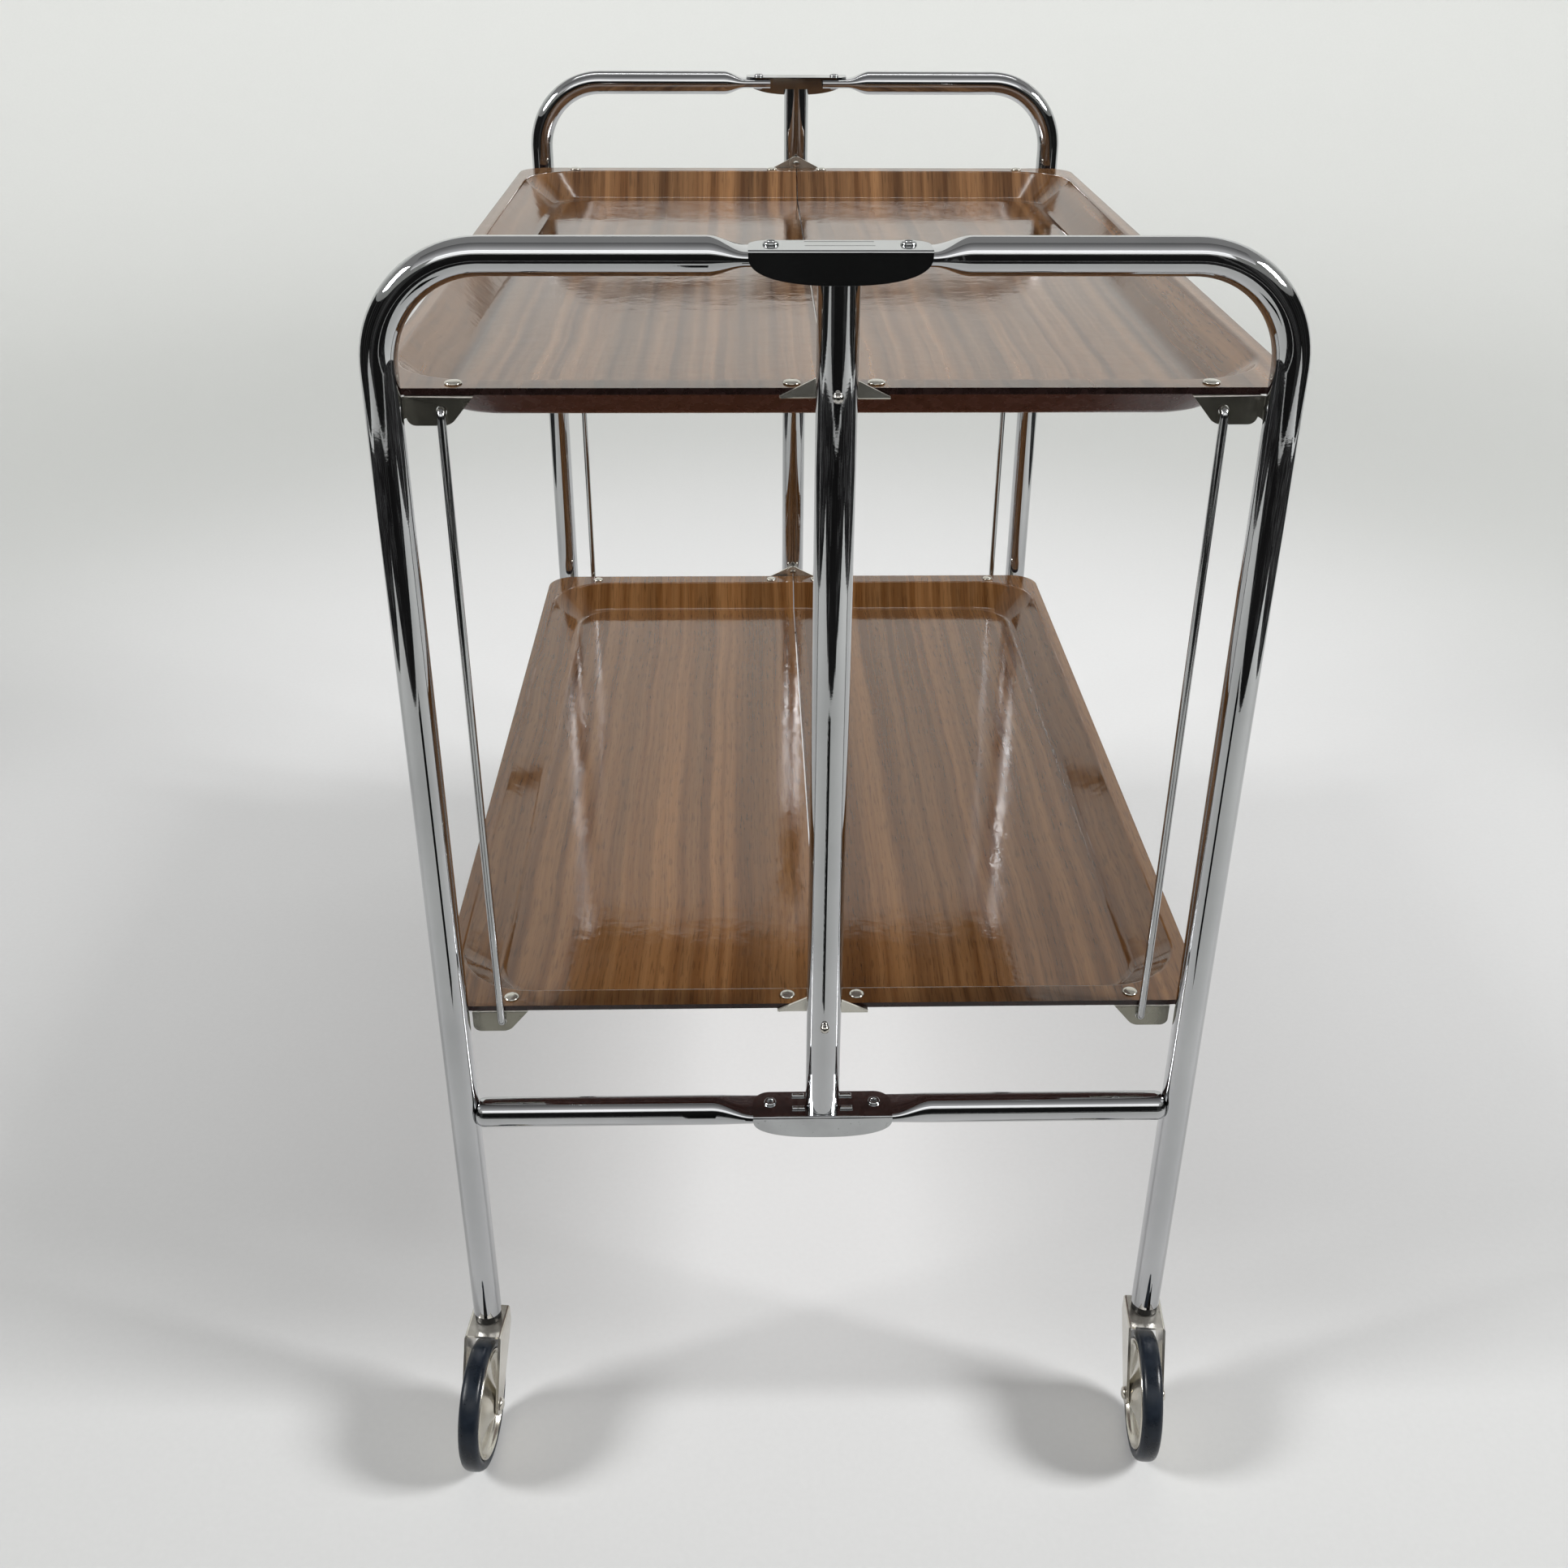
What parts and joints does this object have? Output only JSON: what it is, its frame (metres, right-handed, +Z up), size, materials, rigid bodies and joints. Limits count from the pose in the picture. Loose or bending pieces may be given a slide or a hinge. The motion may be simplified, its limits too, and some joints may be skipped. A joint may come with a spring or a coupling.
{
  "type": "folding serving trolley",
  "caption": "Folding serving trolley: split wood-grain trays on chromed tube end frames, with centre posts, tie rods and swivel casters.",
  "frame": {"origin": "on the floor, below the middle of the trays, midway between the end frames", "axes": "+X across the trolley to the right as seen from the front end, +Y along the trays to the rear end, +Z up"},
  "size_m": [0.4162, 0.7638, 0.6852],
  "materials": {
    "chrome_tube": "polished chrome plate on steel tube and sheet",
    "chrome_rod": "bright chrome plate on steel rod",
    "nickel_steel": "warm nickel plate on pressed sheet steel and rivets",
    "walnut_laminate": "glossy striped walnut grain on moulded laminate",
    "black_rubber": "matt black rubber",
    "black_plastic": "satin black moulded plastic"
  },
  "bodies": {
    "frame": {"front_centre_post": "chrome_tube", "front_left_caster_sleeve": "black_plastic", "front_left_half_frame": "chrome_tube", "front_lower_hinge_bracket": "chrome_tube", "front_lower_tray_pin": "nickel_steel", "front_right_caster_sleeve": "black_plastic", "front_right_half_frame": "chrome_tube", "front_top_hinge_bracket": "chrome_tube", "front_upper_tray_pin": "nickel_steel", "rear_centre_post": "chrome_tube", "rear_left_caster_sleeve": "black_plastic", "rear_left_half_frame": "chrome_tube", "rear_lower_hinge_bracket": "chrome_tube", "rear_lower_tray_pin": "nickel_steel", "rear_right_caster_sleeve": "black_plastic", "rear_right_half_frame": "chrome_tube", "rear_top_hinge_bracket": "chrome_tube", "rear_upper_tray_pin": "nickel_steel"},
    "upper_right_half": {"upper_right_front_centre_bracket": "nickel_steel", "upper_right_front_corner_bracket": "nickel_steel", "upper_right_rear_centre_bracket": "nickel_steel", "upper_right_rear_corner_bracket": "nickel_steel", "upper_right_tray": "walnut_laminate"},
    "upper_left_half": {"upper_left_front_centre_bracket": "nickel_steel", "upper_left_front_corner_bracket": "nickel_steel", "upper_left_rear_centre_bracket": "nickel_steel", "upper_left_rear_corner_bracket": "nickel_steel", "upper_left_tray": "walnut_laminate"},
    "lower_right_half": {"lower_right_front_centre_bracket": "nickel_steel", "lower_right_front_corner_bracket": "nickel_steel", "lower_right_rear_centre_bracket": "nickel_steel", "lower_right_rear_corner_bracket": "nickel_steel", "lower_right_tray": "walnut_laminate"},
    "lower_left_half": {"lower_left_front_centre_bracket": "nickel_steel", "lower_left_front_corner_bracket": "nickel_steel", "lower_left_rear_centre_bracket": "nickel_steel", "lower_left_rear_corner_bracket": "nickel_steel", "lower_left_tray": "walnut_laminate"},
    "front_right_rod": {"front_right_tie_rod": "chrome_rod"},
    "front_right_fork": {"front_right_caster_fork": "nickel_steel"},
    "front_right_wheel": {"front_right_caster_axle": "nickel_steel", "front_right_wheel_disc": "nickel_steel", "front_right_tyre": "black_rubber"},
    "front_left_rod": {"front_left_tie_rod": "chrome_rod"},
    "front_left_fork": {"front_left_caster_fork": "nickel_steel"},
    "front_left_wheel": {"front_left_caster_axle": "nickel_steel", "front_left_wheel_disc": "nickel_steel", "front_left_tyre": "black_rubber"},
    "rear_right_rod": {"rear_right_tie_rod": "chrome_rod"},
    "rear_right_fork": {"rear_right_caster_fork": "nickel_steel"},
    "rear_right_wheel": {"rear_right_caster_axle": "nickel_steel", "rear_right_wheel_disc": "nickel_steel", "rear_right_tyre": "black_rubber"},
    "rear_left_rod": {"rear_left_tie_rod": "chrome_rod"},
    "rear_left_fork": {"rear_left_caster_fork": "nickel_steel"},
    "rear_left_wheel": {"rear_left_caster_axle": "nickel_steel", "rear_left_wheel_disc": "nickel_steel", "rear_left_tyre": "black_rubber"}
  },
  "joints": [
    {"name": "upper_tray_fold_right", "type": "hinge", "parent": "frame", "child": "upper_right_half", "pos_m": [0, 0, 0.6223], "axis": [0, -1, 0], "range_deg": [0, 90]},
    {"name": "upper_tray_fold_left", "type": "hinge", "parent": "frame", "child": "upper_left_half", "pos_m": [0, 0, 0.6223], "axis": [0, 1, 0], "range_deg": [0, 90]},
    {"name": "lower_tray_fold_right", "type": "hinge", "parent": "frame", "child": "lower_right_half", "pos_m": [0, 0, 0.2928], "axis": [0, -1, 0], "range_deg": [0, 90]},
    {"name": "lower_tray_fold_left", "type": "hinge", "parent": "frame", "child": "lower_left_half", "pos_m": [0, 0, 0.2928], "axis": [0, 1, 0], "range_deg": [0, 90]},
    {"name": "front_right_rod_swing", "type": "hinge", "parent": "upper_right_half", "child": "front_right_rod", "pos_m": [0.1703, -0.3035, 0.6095], "axis": [0, -1, 0], "range_deg": [-90, 0]},
    {"name": "front_left_rod_swing", "type": "hinge", "parent": "upper_left_half", "child": "front_left_rod", "pos_m": [-0.1703, -0.3035, 0.6095], "axis": [0, 1, 0], "range_deg": [-90, 0]},
    {"name": "rear_right_rod_swing", "type": "hinge", "parent": "upper_right_half", "child": "rear_right_rod", "pos_m": [0.1703, 0.3035, 0.6095], "axis": [0, -1, 0], "range_deg": [-90, 0]},
    {"name": "rear_left_rod_swing", "type": "hinge", "parent": "upper_left_half", "child": "rear_left_rod", "pos_m": [-0.1703, 0.3035, 0.6095], "axis": [0, 1, 0], "range_deg": [-90, 0]},
    {"name": "front_right_swivel", "type": "hinge", "parent": "frame", "child": "front_right_fork", "pos_m": [0.1928, -0.315, 0.0795], "axis": [0, 0, 1], "continuous": true},
    {"name": "front_right_wheel_spin", "type": "hinge", "parent": "front_right_fork", "child": "front_right_wheel", "pos_m": [0.19019, -0.34489, 0.03704], "axis": [0.9962, -0.0872, 0], "continuous": true},
    {"name": "front_left_swivel", "type": "hinge", "parent": "frame", "child": "front_left_fork", "pos_m": [-0.1928, -0.315, 0.0795], "axis": [0, 0, 1], "continuous": true},
    {"name": "front_left_wheel_spin", "type": "hinge", "parent": "front_left_fork", "child": "front_left_wheel", "pos_m": [-0.19541, -0.34489, 0.03704], "axis": [0.9962, -0.0872, 0], "continuous": true},
    {"name": "rear_right_swivel", "type": "hinge", "parent": "frame", "child": "rear_right_fork", "pos_m": [0.1928, 0.315, 0.0795], "axis": [0, 0, 1], "continuous": true},
    {"name": "rear_right_wheel_spin", "type": "hinge", "parent": "rear_right_fork", "child": "rear_right_wheel", "pos_m": [0.19541, 0.34489, 0.03704], "axis": [-0.9962, 0.0872, 0], "continuous": true},
    {"name": "rear_left_swivel", "type": "hinge", "parent": "frame", "child": "rear_left_fork", "pos_m": [-0.1928, 0.315, 0.0795], "axis": [0, 0, 1], "continuous": true},
    {"name": "rear_left_wheel_spin", "type": "hinge", "parent": "rear_left_fork", "child": "rear_left_wheel", "pos_m": [-0.19019, 0.34489, 0.03704], "axis": [-0.9962, 0.0872, 0], "continuous": true}
  ],
  "couplings": [
    {"joint": "lower_tray_fold_right", "follows": "upper_tray_fold_right", "ratio": 1},
    {"joint": "lower_tray_fold_left", "follows": "upper_tray_fold_left", "ratio": 1},
    {"joint": "front_right_rod_swing", "follows": "upper_tray_fold_right", "ratio": -1},
    {"joint": "front_left_rod_swing", "follows": "upper_tray_fold_left", "ratio": -1},
    {"joint": "rear_right_rod_swing", "follows": "upper_tray_fold_right", "ratio": -1},
    {"joint": "rear_left_rod_swing", "follows": "upper_tray_fold_left", "ratio": -1}
  ]
}
